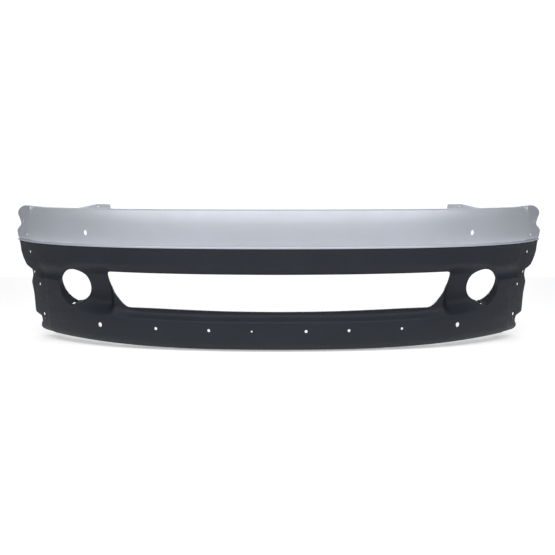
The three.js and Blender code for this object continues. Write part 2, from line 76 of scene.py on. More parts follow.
END_CROWN = {"width": 30, "lean": 0.5, "lift": 3, "lift_from": 400}
TRIM_STEP = {"depth": 2.6, "width": 12, "beyond": (30, 48)}
TAB = {"inboard": (553, 576), "outboard": (620, 682), "rise": 13, "reach": 17}
TAB_HOLE = {"s": 612, "radius": 7, "oval": 1.3, "inset": 50, "above": 9}
TOP_FLANGE_REAR = 45


def ease(x, start, stop):
    t = np.clip((np.asarray(x, float) - start) / (stop - start), 0, 1)
    return t * t * (3 - 2 * t)


def mix(a, b, t):
    return a + (b - a) * t


def plan_at(s):
    """Point and heading of the front edge seen from above."""
    s = np.asarray(s, float)
    left = np.abs(s)
    x, y, heading = np.zeros_like(left), np.zeros_like(left), np.zeros_like(left)
    for i, (radius, sweep) in enumerate(PLAN_ARCS):
        last = i + 1 == len(PLAN_ARCS)
        length = left if last else np.minimum(left, radius * math.radians(sweep))
        after = heading + length / radius
        x = x + radius * (np.sin(after) - np.sin(heading))
        y = y + radius * (np.cos(heading) - np.cos(after))
        heading, left = after, left - length
    side = np.where(s < 0, -1.0, 1.0)
    return side * x, y, side * heading


def skin_point(s, inset, z):
    x, y, heading = plan_at(s)
    height = np.zeros_like(x) + z
    return np.stack([x - np.sin(heading) * inset, y + np.cos(heading) * inset, height], -1)


def rise(s):
    return 17 * ease(np.abs(s), 200, 950)


def rise_at(s, level):
    return rise(s) * (1 - ease(level, 120, 230))


def joggle_line(z):
    return JOGGLE_S + JOGGLE_LEAN * ease(z, 160, 360)


def joggle(s, z):
    return JOGGLE_DEPTH * ease(np.abs(s) - joggle_line(z), 0, JOGGLE_WIDTH)


def station_s(u, z):
    return u + np.sign(u) * ease(np.abs(u), 600, JOGGLE_S) * (joggle_line(z) - JOGGLE_S)


def across_share(s):
    return np.maximum(np.abs(s) - RECESS_STRAIGHT, 0) / RECESS_ROUND


def crease_level(s):
    open_share = np.maximum(1 - across_share(s) ** 4, 0.02) ** 0.25
    return BROW_Z - (BROW_Z - CREASE_Z) * open_share


def recess_wall(s):
    """Height over which the lower edge falls away, more round the lamps."""
    return mix(24, 50, ease(np.abs(s), 430, 600))


def base_inset(level):
    share = np.clip((BROW_Z - level) / (BROW_Z - CREASE_Z), 0, 1)
    return mix(BROW_INSET, CREASE_INSET, share)


def floor_inset(s, level, z):
    x, y, heading = plan_at(np.abs(s))
    centre = mix(25, 36, (BROW_Z - level) / (BROW_Z - CREASE_Z))
    plane_y = FOG["y"] + FOG["out"] * (x - FOG["x"]) + FOG["down"] * (FOG["z"] - z)
    lamp = (plane_y - y) / (np.cos(heading) + FOG["out"] * np.sin(heading))
    return mix(centre, lamp, ease(np.abs(s), 535, 575))


def recess_inset(s, level, z, soft=0.0):
    """Depth in the recess round the grille and the lamps; soft rounds its lower edge."""
    a = across_share(s)
    d = np.maximum(BROW_Z - level, 0) / (BROW_Z - CREASE_Z)
    reach = (a ** 4 + d ** 4) ** 0.25
    slope = np.hypot(a ** 3 / RECESS_ROUND, d ** 3 / (BROW_Z - CREASE_Z))
    slope = slope / np.maximum(reach, 0.01) ** 3
    fall = np.clip((1 - reach) / np.maximum(slope, 1e-6) / recess_wall(s), 0, 1)
    fall = (np.sqrt(fall ** 2 + soft ** 2) - soft) / (math.sqrt(1 + soft ** 2) - soft)
    outboard = ease(np.abs(s), 700, 760) * (1 - ease(np.abs(s), 850, 930))
    dent = 5 * outboard * np.sin(math.pi * ease(BROW_Z - level, 0, 90)) ** 2
    base = base_inset(level)
    depth = np.maximum(floor_inset(s, level, z) - base, 0)
    return base + dent + depth * ease(BROW_Z - level, 0, RECESS_BROW) * np.sin(fall * math.pi / 2)


# ---- sections ---------------------------------------------------------------------
# Each gives s, inset and z for every station (down) and every row (across), from the
# rear edge of the upper flange to the rear edge of the lower one.


def tab_share(s):
    return ease(np.abs(s), *TAB["inboard"]) * (1 - ease(np.abs(s), *TAB["outboard"]))


def crown(parts):
    """Upright face leaning back into the top flange, from the bottom up."""
    points, lean = [(0.0, FACE_Z)], 0.0
    for radius, to, steps in parts:
        inset, z = points[-1]
        for i in range(1, steps + 1):
            angle = math.radians(mix(lean, to, i / steps))
            points.append((
                inset + radius * (math.cos(math.radians(lean)) - math.cos(angle)),
                z + radius * (math.sin(angle) - math.sin(math.radians(lean)))))
        lean = to
    return points[::-1]


UPPER_FINE = crown([(290, 8, 5), (98, 32, 12), (12, 90, 9)]) + [
    (0.3, 339), (0.8, 333), (1.6, 327), (2.5, 323), (3.6, 320.4), (4.4, 319), (4.5, 318.2),
    (4.0, 317.3), (3.1, 316.5), (2.6, 315.4), (2.5, 313.6), (2.7, 312.6), (3.3, 312.1),
    (4.4, 312.0), (16, 312.0), (30, 312.0)]
UPPER_PLAIN = crown([(290, 8, 3), (98, 32, 6), (12, 90, 3)]) + [
    (1.0, 331), (3.2, 320), (2.8, 312.0), (30, 312.0)]


def upper_section(u, rows, fine):
    u = u[:, None]
    tab = tab_share(u)
    shares = np.array([1, 0.97, 0.8, 0.6, 0.42, 0.3, 0.2, 0.1, 0.04] if fine else [1, 0.5, 0.2])
    edge = rows[0][0]
    flange_inset = mix(edge, TOP_FLANGE_REAR + TAB["reach"] * tab, shares)
    flange_z = TOP_Z + TAB["rise"] * tab * (np.sqrt(shares ** 2 + 0.0036) - 0.06) / 0.942
    fixed = np.array(rows)
    ones = np.ones_like(u)
    inset = np.concatenate([flange_inset, ones * fixed[:, 0]], 1)
    z = np.concatenate([flange_z, ones * fixed[:, 1]], 1)
    s = station_s(u, z)
    beyond = np.abs(s) - joggle_line(z)
    share = ease(beyond, 0, END_CROWN["width"])
    inset = inset * np.where(z > FACE_Z, 1 - END_CROWN["lean"] * share, 1)
    z = z + END_CROWN["lift"] * share * ease(z, END_CROWN["lift_from"], TOP_Z)
    inset = inset + np.where(z < 317, 0.4, 1.0) * joggle(s, z)
    # the trim lies in a second, shallower step on the painted flange
    line = joggle_line(z) + mix(*TRIM_STEP["beyond"], ease(z, 345, 375))
    step = ease(np.abs(s) - line, 0, TRIM_STEP["width"]) * ease(z, 322, 350)
    inset = inset + TRIM_STEP["depth"] * step
    return s, inset, z


def tuck(count):
    angles = np.radians(np.linspace(12, 90, count))
    inset = TUCK_INSET + TUCK_RADIUS * (math.cos(math.radians(12)) - np.cos(angles))
    return list(zip(inset, TUCK_RADIUS * (1 - np.sin(angles))))


LOWER_TOP = SEAM_Z - GAP
LOWER_FINE = {
    "shoulder": [(30, LOWER_TOP), (16, LOWER_TOP), (5, LOWER_TOP), (3.9, 311.4), (3.3, 310.6),
                 (3.1, 309.4), (3.3, 307.6), (3.7, 305), (4.1, 300), (4.5, 294), (4.9, 287),
                 (5.2, 280), (5.5, 273), (5.8, 267)],
    "recess": np.concatenate([np.linspace(0, 0.84, 32), np.linspace(0.84, 1, 17)[1:]]),
    "below": np.linspace(0, 1, 19)[1:] ** 1.5,
    "tuck": tuck(13)[1:],
    "soft": 0.075,
}
LOWER_PLAIN = {
    "shoulder": [(30, LOWER_TOP), (3, LOWER_TOP), (4, 305), (5, 283)],
    "recess": np.array([0, 0.06, 0.12, 0.18, 0.26, 0.36, 0.48, 0.6, 0.72, 0.84, 0.92, 1]),
    "below": np.linspace(0, 1, 7)[1:],
    "tuck": tuck(6)[1:],
    "soft": 0.0,
}


def lower_section(u, rows):
    u = u[:, None]
    ones = np.ones_like(u)
    crease = crease_level(u)
    shoulder, curl = np.array(rows["shoulder"]), np.array(rows["tuck"])
    recess = mix(BROW_Z * ones, crease, rows["recess"])
    below = mix(crease, TUCK_Z, rows["below"])
    drop = np.clip((CREASE_Z - below) / (CREASE_Z - TUCK_Z), 0, 1)
    below_inset = base_inset(below) + (TUCK_INSET - CREASE_INSET) * drop ** 2
    level = np.concatenate([ones * shoulder[:, 1], recess, below, ones * curl[:, 1],
                            ones * [0.0, 0.0]], 1)
    s = station_s(u, level)
    z = level + rise_at(s, level)
    a, b = len(shoulder), len(shoulder) + recess.shape[1]
    inset = np.concatenate([
        ones * shoulder[:, 0],
        recess_inset(s[:, a:b], recess, z[:, a:b], rows["soft"]),
        below_inset, ones * curl[:, 0], ones * [64.0, 78.0]], 1)
    return s, inset + joggle(s, z), z


def inner_section(s, inset, z):
    """The section moved in by the wall's thickness, with mitred corners."""
    along = np.stack([np.diff(inset, axis=1), np.diff(z, axis=1)], -1)
    normal = np.stack([-along[..., 1], along[..., 0]], -1)
    normal /= np.maximum(np.linalg.norm(normal, axis=-1, keepdims=True), 1e-9)
    before = np.concatenate([normal[:, :1], normal], 1)
    after = np.concatenate([normal, normal[:, -1:]], 1)
    corner = before + after
    corner /= np.maximum(np.linalg.norm(corner, axis=-1, keepdims=True), 1e-9)
    reach = WALL / np.maximum((corner * before).sum(-1), 0.5)
    return s, inset + corner[..., 0] * reach, z + corner[..., 1] * reach


# ---- solids -----------------------------------------------------------------------
# A solid is (points, faces).


def signed_volume(points, faces):
    points = np.asarray(points, float)
    total = 0.0
    for face in faces:
        a = points[face[0]]
        for i in range(1, len(face) - 1):
            total += np.dot(a, np.cross(points[face[i]], points[face[i + 1]]))
    return total


def outward(points, faces):
    if signed_volume(points, faces) < 0:
        faces = [tuple(reversed(face)) for face in faces]
    return points, faces


def together(*solids):
    points, faces = [], []
    for p, f in solids:
        start = sum(len(q) for q in points)
        points.append(np.asarray(p, float))
        faces += [tuple(i + start for i in face) for face in f]
    return np.concatenate(points), faces


def placed(matrix, points):
    m = np.array(matrix)
    return np.asarray(points, float) @ m[:3, :3].T + m[:3, 3]


def ring_faces(loops, ring, closed):
    faces = []
    for i in range(loops if closed else loops - 1):
        a, b = i * ring, (i + 1) % loops * ring
        for j in range(ring):
            k = (j + 1) % ring
            faces.append((a + j, a + k, b + k, b + j))
    return faces


def shell(outer, inner):
    """Closed wall between two grids of points."""
    loops, count = outer.shape[:2]
    ring = count + inner.shape[1]
    points = np.concatenate([outer, inner[:, ::-1]], 1).reshape(-1, 3)
    faces = ring_faces(loops, ring, False)
    faces += [tuple(reversed(range(ring))), tuple(range((loops - 1) * ring, loops * ring))]
    return points, faces


def sweep(sections, closed=True):
    """Solid through a list of loops of points."""
    sections = np.asarray(sections, float)
    loops, ring = sections.shape[:2]
    faces = ring_faces(loops, ring, closed)
    if not closed:
        faces += [tuple(reversed(range(ring))), tuple(range((loops - 1) * ring, loops * ring))]
    return outward(sections.reshape(-1, 3), faces)


def turned(matrix, profile, sides=48):
    """Turned solid about the matrix's Y axis; the profile is (radius, distance) pairs."""
    poles = profile[0][0] < 1e-6 and profile[-1][0] < 1e-6
    rows = profile[1:-1] if poles else profile
    angles = np.linspace(0, 2 * math.pi, sides, endpoint=False)
    points = [(r * math.cos(a), y, r * math.sin(a)) for r, y in rows for a in angles]
    faces = ring_faces(len(rows), sides, not poles)
    if poles:
        points += [(0, profile[0][1], 0), (0, profile[-1][1], 0)]
        first, last, top = len(points) - 2, len(points) - 1, (len(rows) - 1) * sides
        for j in range(sides):
            k = (j + 1) % sides
            faces.append((j, first, k))
            faces.append((top + k, last, top + j))
    return outward(placed(matrix, points), faces)


def rod(matrix, radius, start, stop, sides=32):
    return turned(matrix, [(0, start), (radius, start), (radius, stop), (0, stop)], sides)


def block(matrix, low, high):
    corners = [(x, y, z) for x in (low[0], high[0]) for y in (low[1], high[1])
               for z in (low[2], high[2])]
    faces = [(0, 1, 3, 2), (4, 6, 7, 5), (0, 4, 5, 1), (2, 3, 7, 6), (0, 2, 6, 4), (1, 5, 7, 3)]
    return outward(placed(matrix, corners), faces)


def prism(matrix, outline, start, stop):
    """Outline of (x, z) pairs extruded along the matrix's Y axis."""
    count = len(outline)
    points = [(x, y, z) for y in (start, stop) for x, z in outline]
    faces = ring_faces(2, count, False)
    faces += [tuple(reversed(range(count))), tuple(range(count, 2 * count))]
    return outward(placed(matrix, points), faces)


def rounded(outline, radius, steps=5):
    """A closed outline with its corners rounded off."""
    result = []
    points = [np.array(p, float) for p in outline]
    for i, corner in enumerate(points):
        before, after = points[i - 1] - corner, points[(i + 1) % len(points)] - corner
        reach = min(radius, np.linalg.norm(before) * 0.45, np.linalg.norm(after) * 0.45)
        a = corner + before / np.linalg.norm(before) * reach
        b = corner + after / np.linalg.norm(after) * reach
        for t in np.linspace(0, 1, steps):
            result.append(tuple((1 - t) ** 2 * a + 2 * t * (1 - t) * corner + t * t * b))
    return result


def spline(points, per=6, closed=False):
    """Catmull-Rom curve through points."""
    p = [np.array(q, float) for q in points]
    count = len(p)
    result = []
    for i in range(count if closed else count - 1):
        pick = (lambda k: p[k % count]) if closed else (lambda k: p[min(max(k, 0), count - 1)])
        a, b, c, d = pick(i - 1), pick(i), pick(i + 1), pick(i + 2)
        for t in np.arange(per) / per:
            result.append(0.5 * (2 * b + (c - a) * t + (2 * a - 5 * b + 4 * c - d) * t ** 2
                                 + (3 * b - a - 3 * c + d) * t ** 3))
    if not closed:
        result.append(p[-1])
    return np.array(result)


def tube(path, radius, facing, sides=12):
    """Round bead along a closed path; facing is a direction that isn't along it."""
    path = np.asarray(path, float)
    along = np.roll(path, -1, 0) - np.roll(path, 1, 0)
    along /= np.linalg.norm(along, axis=1, keepdims=True)
    first = facing - (along @ facing)[:, None] * along
    first /= np.linalg.norm(first, axis=1, keepdims=True)
    second = np.cross(along, first)
    angles = np.linspace(0, 2 * math.pi, sides, endpoint=False)
    loops = [path[:, None] + radius * (np.cos(angles)[:, None] * first[:, None]
                                       + np.sin(angles)[:, None] * second[:, None])]
    return sweep(loops[0])


def to_object(name, solid):
    points, faces = solid
    mesh = bpy.data.meshes.new(name)
    mesh.from_pydata(((np.asarray(points, float) - ORIGIN) * MM).tolist(), [], faces)
    mesh.update()
    obj = bpy.data.objects.new(name, mesh)
    bpy.context.scene.collection.objects.link(obj)
    return obj


def combine(obj, solid, operation):
    other = to_object("operand", solid)
    modifier = obj.modifiers.new("step", "BOOLEAN")
    modifier.object, modifier.operation, modifier.solver = other, operation, "MANIFOLD"
    graph = bpy.context.evaluated_depsgraph_get()
    mesh = bpy.data.meshes.new_from_object(obj.evaluated_get(graph))
    obj.modifiers.clear()
    old, obj.data = obj.data, mesh
    bpy.data.meshes.remove(old)
    spare = other.data
    bpy.data.objects.remove(other)
    bpy.data.meshes.remove(spare)


def finished(obj, node, materials, angle=32):
    """Smooths the piece, gives it its finish and puts it in place of the CAD node."""
    mesh = obj.data
    obj.name = mesh.name = node + "_look"
    mesh.materials.clear()
    for material, _ in materials:
        mesh.materials.append(material)
    mesh.polygons.foreach_set("use_smooth", [True] * len(mesh.polygons))
    mesh.set_sharp_from_angle(angle=math.radians(angle))
    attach(obj, "root")
    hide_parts(node)
    return obj


# ---- finishes ---------------------------------------------------------------------


class Finish:
    """A Principled material built from a few procedural layers."""

    def __init__(self, name, **settings):
        self.material = bpy.data.materials.new(name)
        self.material.use_nodes = True
        self.tree = self.material.node_tree
        self.shader = self.tree.nodes["Principled BSDF"]
        self.place = self.tree.nodes.new("ShaderNodeTexCoord").outputs["Object"]
        self.bump = None
        for key, value in settings.items():
            self.shader.inputs[key.replace("_", " ")].default_value = value

    def noise(self, scale, detail=2.0, roughness=0.5, stretch=(1, 1, 1)):
        node = self.tree.nodes.new("ShaderNodeTexNoise")
        node.inputs["Scale"].default_value = scale
        node.inputs["Detail"].default_value = detail
        node.inputs["Roughness"].default_value = roughness
        mapping = self.tree.nodes.new("ShaderNodeMapping")
        mapping.inputs["Scale"].default_value = stretch
        self.tree.links.new(self.place, mapping.inputs["Vector"])
        self.tree.links.new(mapping.outputs["Vector"], node.inputs["Vector"])
        return node.outputs["Fac"]

    def cells(self, scale):
        node = self.tree.nodes.new("ShaderNodeTexVoronoi")
        node.feature = "SMOOTH_F1"
        node.inputs["Scale"].default_value = scale
        node.inputs["Smoothness"].default_value = 0.6
        self.tree.links.new(self.place, node.inputs["Vector"])
        return node.outputs["Distance"]

    def ramp(self, source, low, high, start=0.3, stop=0.7):
        """Maps a pattern to a range of numbers."""
        node = self.tree.nodes.new("ShaderNodeMapRange")
        for key, value in zip(("From Min", "From Max", "To Min", "To Max"),
                              (start, stop, low, high)):
            node.inputs[key].default_value = value
        self.tree.links.new(source, node.inputs["Value"])
        return node.outputs["Result"]

    def colour(self, layers, base):
        """Base colour, tinted layer by layer: (pattern, other colour, strength)."""
        current = None
        for pattern, tint, strength in layers:
            node = self.tree.nodes.new("ShaderNodeMix")
            node.data_type = "RGBA"
            inputs = [i for i in node.inputs if i.type == "RGBA"]
            if current is None:
                inputs[0].default_value = (*base, 1)
            else:
                self.tree.links.new(current, inputs[0])
            inputs[1].default_value = (*tint, 1)
            self.tree.links.new(self.ramp(pattern, 0, strength), node.inputs["Factor"])
            current = [o for o in node.outputs if o.type == "RGBA"][0]
        self.tree.links.new(current, self.shader.inputs["Base Color"])

    def rough(self, pattern, low, high):
        self.tree.links.new(self.ramp(pattern, low, high), self.shader.inputs["Roughness"])

    def relief(self, pattern, depth, strength=1.0):
        """Adds a bump layer, its depth in millimetres."""
        node = self.tree.nodes.new("ShaderNodeBump")
        node.inputs["Strength"].default_value = strength
        node.inputs["Distance"].default_value = depth * MM
        self.tree.links.new(pattern, node.inputs["Height"])
        if self.bump is not None:
            self.tree.links.new(self.bump, node.inputs["Normal"])
        self.bump = node.outputs["Normal"]
        self.tree.links.new(self.bump, self.shader.inputs["Normal"])


def silver_paint():
    look = Finish("silver_paint_look", Metallic=0.35, Specular_IOR_Level=0.45)
    flakes, cloud, smear = look.noise(2600, 1), look.noise(7, 3), look.noise(22, 4, 0.6)
    look.colour([(flakes, (0.60, 0.64, 0.72), 0.35), (cloud, (0.47, 0.485, 0.51), 0.4),
                 (smear, (0.5, 0.51, 0.535), 0.25)], (0.50, 0.535, 0.61))
    look.rough(smear, 0.46, 0.55)
    look.relief(look.noise(160, 2), 0.06)
    look.relief(flakes, 0.02)
    return look.material


def grained_plastic():
    look = Finish("grained_plastic_look", Specular_IOR_Level=0.3)
    grain, cloud, streak = look.cells(850), look.noise(6, 3), look.noise(30, 4, 0.6, (1, 1, 3))
    look.colour([(look.ramp(grain, 0, 1, 0.1, 0.6), (0.018, 0.022, 0.031), 0.5),
                 (cloud, (0.009, 0.011, 0.017), 0.5), (streak, (0.016, 0.019, 0.027), 0.3)],
                (0.012, 0.015, 0.023))
    look.rough(streak, 0.5, 0.62)
    look.relief(grain, 0.09)
    look.relief(look.noise(2200, 2), 0.03)
    return look.material


def black_nylon():
    look = Finish("black_nylon_look", Specular_IOR_Level=0.5)
    fine, cloud = look.noise(900, 3), look.noise(40, 3)
    look.colour([(cloud, (0.026, 0.026, 0.029), 0.6), (fine, (0.012, 0.012, 0.013), 0.4)],
                (0.018, 0.018, 0.020))
    look.rough(cloud, 0.42, 0.56)
    look.relief(fine, 0.03)
    return look.material


def zinc_steel():
    look = Finish("zinc_steel_look", Metallic=1.0)
    spangle, brushed = look.cells(600), look.noise(400, 3, 0.6, (1, 6, 1))
    look.colour([(spangle, (0.50, 0.50, 0.46), 0.5), (brushed, (0.66, 0.67, 0.70), 0.4)],
                (0.58, 0.59, 0.60))
    look.rough(brushed, 0.28, 0.42)
    look.relief(brushed, 0.01)
    return look.material


PAINT = (silver_paint(), "silver_paint")
GRAINED = (grained_plastic(), "grained_plastic")
NYLON = (black_nylon(), "black_nylon")
STEEL = (zinc_steel(), "zinc_steel")

# ---- frames and outlines ----------------------------------------------------------


def skin_frame(s, inset, z):
    """X along the skin, Y inwards, Z up."""
    point = skin_point(s, inset, z)
    return Matrix.Translation(Vector(point)) @ Matrix.Rotation(float(plan_at(s)[2]), 4, "Z")


def fog_frame(side):
    """Y points inwards, square to the lamp aperture."""
    inward = Vector((-FOG["out"] * side, 1, FOG["down"])).normalized()
    across = inward.cross(Vector((0, 0, 1))).normalized()
    up = across.cross(inward)
    turn = Matrix((across, inward, up)).transposed().to_4x4()
    return Matrix.Translation(Vector((FOG["x"] * side, FOG["y"], FOG["z"]))) @ turn


def fog_screw_frame(side, angle):
    x = side * FOG_SCREW_RADIUS * math.cos(math.radians(angle))
    z = FOG_SCREW_RADIUS * math.sin(math.radians(angle))
    return fog_frame(side) @ Matrix.Translation(Vector((x, 0, z)))


def rivet_frame(s):
    return skin_frame(s, RIVET_INSET, SEAM_Z) @ Matrix.Rotation(math.pi / 2, 4, "X")


def clip_frame(s):
    """On the bottom flange: X along it, Y down, Z inwards."""
    return skin_frame(s, CLIP_INSET, float(rise(s))) @ Matrix.Rotation(-math.pi / 2, 4, "X")


def skin_hole(s, z, radius, oval=1.0, lean=0.0, tilt=0.0, inset=0.0, long=1.0):
    side = 1 if s > 0 else -1
    turn = Matrix.Rotation(math.radians(tilt), 4, "X")
    turn @= Matrix.Rotation(math.radians(lean) * side, 4, "Y")
    stretch = Matrix.Diagonal((long, 1, oval, 1))
    return rod(skin_frame(s, inset, z) @ turn @ stretch, radius, -14, 22)


def both_sides(holes):
    return [(side * h[0], *h[1:]) for h in holes for side in (-1, 1)]


# s, z, radius, oval, lean, tilt, inset, long
UPPER_HOLES = both_sides([
    (626, 355, 7.2, 1.2, 20, 0, 0, 1), (1040, 380, 5, 1, 0, 0, 0, 1.5),
    (991, 336, 5.5, 1, 0, 0, 0, 1.5), (968, 427, 5.5, 1, 0, -40, 13.6, 1)])
LOWER_HOLES = both_sides([
    (969, 279, 5.5, 1, 0, 0, 0, 1.5), (935, 214, 5, 1, 0, 0, 0, 1.35),
    (891, 176, 5, 1, 0, 0, 0, 1.35), (867, 79, 5.5, 1, 0, 0, 0, 1.35),
    (868, 64, 3, 1, 0, 0, 0, 1.4), (580, 68, 7.5), (215, 63, 4.5)])
LOWER_HOLES += [(-383, 65, 4.75), (383, 65, 4), (-83, 62, 2.75), (83, 62, 4.5)]
SEAM_RIVETS = (-790, -600, -400, -200, 0, 200, 400, 600, 790)
CLIP_NUTS = (-550, -350, -150, 150, 350, 550)
GUIDE = {"span": (745, 900), "front": 9.5, "rear": 36, "foot": 366, "top": 392}
GUIDE_SCREWS, GUIDE_SCREW_Z = (770, 870), 380

GRILLE_HALF = [
    (0, 233), (130, 233.2), (260, 233.5), (390, 234.2), (505, 235), (525, 234.6), (534.5, 231),
    (538, 222), (536, 210), (530, 192), (515, 170), (495, 145), (479, 130), (464, 124.5),
    (430, 124.1), (390, 124), (300, 122), (155, 119), (0, 118)]
ARCH_LOBES = [
    (357, 436), (400, 434), (450, 433), (490, 427), (512, 420), (526, 411), (520, 401),
    (495, 391), (472, 378), (465, 370), (474, 363), (497, 356), (522, 345), (512, 334),
    (506, 321), (492, 306)]
ARCH_STEPS = [
    (489, 297), (484, 276), (463, 257), (417, 233), (362, 221), (357, 205), (370, 179),
    (356, 144), (351, 115), (348, 81), (313, 71), (312, 55), (341, 27), (346, 18)]


def grille_outline():
    half = spline(GRILLE_HALF, 10)
    return [tuple(p) for p in half] + [(-x, z) for x, z in half[1:-1][::-1]]


def arch_cutter(side):
    """Everything behind the wheel-arch edge, as a prism across the end."""
    steps = rounded([(492, 306), *ARCH_STEPS, (346, -40)], 5, 4)[4:-4]
    outline = [(340, 480), (340, 438), *[tuple(p) for p in spline(ARCH_LOBES, 6)],
               *steps, (346, -40), (700, -40), (700, 480)]
    low, high = sorted((side * 620, side * 1060))
    loops = [[(x, y, z) for y, z in outline] for x in (low, high)]
    return sweep(loops, closed=False)


def front_surface(outer):
    """Finds where a line meets the outside of a skin."""
    loops, rows = outer.shape[:2]
    faces = [(i * rows + j, i * rows + j + 1, (i + 1) * rows + j + 1, (i + 1) * rows + j)
             for i in range(loops - 1) for j in range(rows - 1)]
    tree = BVHTree.FromPolygons(outer.reshape(-1, 3).tolist(), faces)

    def hit(start, direction):
        found = tree.ray_cast(Vector(start), Vector(direction))
        return None if found[0] is None else np.array(found[0])
    return hit


def offset_outline(points, distance):
    """Moves a closed outline outwards in its own plane."""
    p = np.array(points, float)
    along = np.roll(p, -1, 0) - np.roll(p, 1, 0)
    along /= np.linalg.norm(along, axis=1, keepdims=True)
    normal = np.stack([along[:, 1], -along[:, 0]], 1)
    if ((p - p.mean(0)) * normal).sum() < 0:
        normal = -normal
    return p + normal * distance


# ---- the two skins ----------------------------------------------------------------


def stations(spans):
    side = np.concatenate([np.arange(a, b, step) for a, b, step in spans])
    side = np.append(side, spans[-1][1])
    return np.concatenate([-side[:0:-1], side])


def painted_skin():
    u = stations([(0, 480, 10), (480, 640, 4), (640, 820, 7), (820, 860, 2), (860, END_S, 5)])
    outer = skin_point(*upper_section(u, UPPER_FINE, True))
    inner = skin_point(*inner_section(*upper_section(u, UPPER_PLAIN, False)))
    obj = to_object("painted_skin", shell(outer, inner))
    guides = [skin_frame(side * s, GUIDE["front"], GUIDE_SCREW_Z)
              for side in (-1, 1) for s in GUIDE_SCREWS]
    combine(obj, together(*[rod(m, 4.5, -6, -GAP) for m in guides]), "UNION")
    upright = Matrix.Rotation(math.pi / 2, 4, "X")
    oval = Matrix.Diagonal((TAB_HOLE["oval"], 1, 1, 1))
    tabs = [rod(skin_frame(side * TAB_HOLE["s"], TAB_HOLE["inset"], TOP_Z + TAB_HOLE["above"])
                @ upright @ oval, TAB_HOLE["radius"], -14, 14, 40) for side in (-1, 1)]
    cutters = [skin_hole(*h) for h in UPPER_HOLES] + tabs
    cutters += [rod(rivet_frame(s), 4, -6, 6) for s in SEAM_RIVETS]
    cutters += [rod(m, 2.2, -4.4, 2) for m in guides]
    combine(obj, together(*cutters), "DIFFERENCE")
    for side in (-1, 1):
        combine(obj, arch_cutter(side), "DIFFERENCE")
    return finished(obj, "upper_cover", [PAINT])


def fog_rim(hit, side):
    """Rolled edge of a lamp aperture and the short collar behind it."""
    base = fog_frame(side)
    inward = np.array(base.col[1][:3])
    bead, collar = [], []
    for angle in np.linspace(0, 2 * math.pi, 96, endpoint=False):
        def at(radius, depth):
            return placed(base, [(radius * math.cos(angle), depth, radius * math.sin(angle))])[0]
        found = hit(at(FOG["radius"] + 2.2, -90), inward)
        depth = float((found - at(FOG["radius"] + 2.2, 0)) @ inward)
        bead.append(found + inward * 1.5)
        front, back = min(depth + 1.5, FOG_RIM - 1), FOG_RIM
        collar.append([at(FOG["radius"] - 1, front), at(FOG["radius"] + 2.9, front),
                       at(FOG["radius"] + 2.7, back), at(FOG["radius"] - 1, back)])
    return [tube(bead, 2.5, inward), sweep(collar)]


def fog_bosses(hit, side):
    result = []
    for angle in FOG_SCREW_ANGLES:
        base = fog_screw_frame(side, angle)
        inward = np.array(base.col[1][:3])
        start = np.array(base.translation)
        depth = float((hit(start - inward * 90, inward) - start) @ inward) + 1.2
        result.append(turned(base, [(0, depth), (6.4, depth), (6.2, depth + 2.5),
                                    (5.1, depth + 4.5), (5.0, FOG_BOSS), (0, FOG_BOSS)], 28))
    return result


def grille_edge(hit):
    """Rolled edge of the grille opening and the lip that the grille clips to."""
    ahead = np.array([0.0, 1.0, 0.0])
    outline = grille_outline()
    path, lip = [], []
    near, far = offset_outline(outline, 0.0), offset_outline(outline, 2.6)
    for (x, z), (x0, z0), (x1, z1) in zip(offset_outline(outline, 2.2), near, far):
        found = hit((x, -150, z), ahead)
        path.append(found + ahead * 1.6)
        y = found[1]
        lip.append([(x0, y + 1.6, z0), (x1, y + 1.6, z1), (x1, y + 10, z1), (x0, y + 10, z0)])
    return [tube(path, 2.4, ahead), sweep(lip)]


def grained_skin():
    u = stations([(0, 440, 10), (440, 820, 4), (820, 860, 2.5), (860, END_S, 6)])
    outer = skin_point(*lower_section(u, LOWER_FINE))
    inner = skin_point(*inner_section(*lower_section(u, LOWER_PLAIN)))
    hit = front_surface(outer)
    obj = to_object("grained_skin", shell(outer, inner))
    for side in (-1, 1):
        for solid in fog_rim(hit, side):
            combine(obj, solid, "UNION")
        combine(obj, together(*fog_bosses(hit, side)), "UNION")
    for solid in grille_edge(hit):
        combine(obj, solid, "UNION")
    ahead = Matrix.Identity(4)
    combine(obj, prism(ahead, grille_outline(), -60, 260), "DIFFERENCE")
    lamps = [rod(fog_frame(side), FOG["radius"], -60, 40, 96) for side in (-1, 1)]
    cutters = lamps + [skin_hole(*h) for h in LOWER_HOLES]
    cutters += [rod(fog_screw_frame(side, a), 2.2, FOG_HOLE_FLOOR, FOG_BOSS + 2)
                for side in (-1, 1) for a in FOG_SCREW_ANGLES]
    cutters += [rod(rivet_frame(s), 4, -6, 6) for s in SEAM_RIVETS]
    cutters += [rod(clip_frame(s), 4, -6, 6) for s in CLIP_NUTS]
    combine(obj, together(*cutters), "DIFFERENCE")
    notches = [prism(fog_frame(side) @ Matrix.Translation(Vector((-6, 0, -FOG["radius"]))),
                     rounded([(-5, -4.5), (5, -4.5), (5, 4.5), (-5, 4.5)], 2), -30, 30)
               for side in (-1, 1)]
    combine(obj, together(*notches), "DIFFERENCE")
    for side in (-1, 1):
        combine(obj, arch_cutter(side), "DIFFERENCE")
    return finished(obj, "lower_cover", [GRAINED])


# ---- fixings ----------------------------------------------------------------------


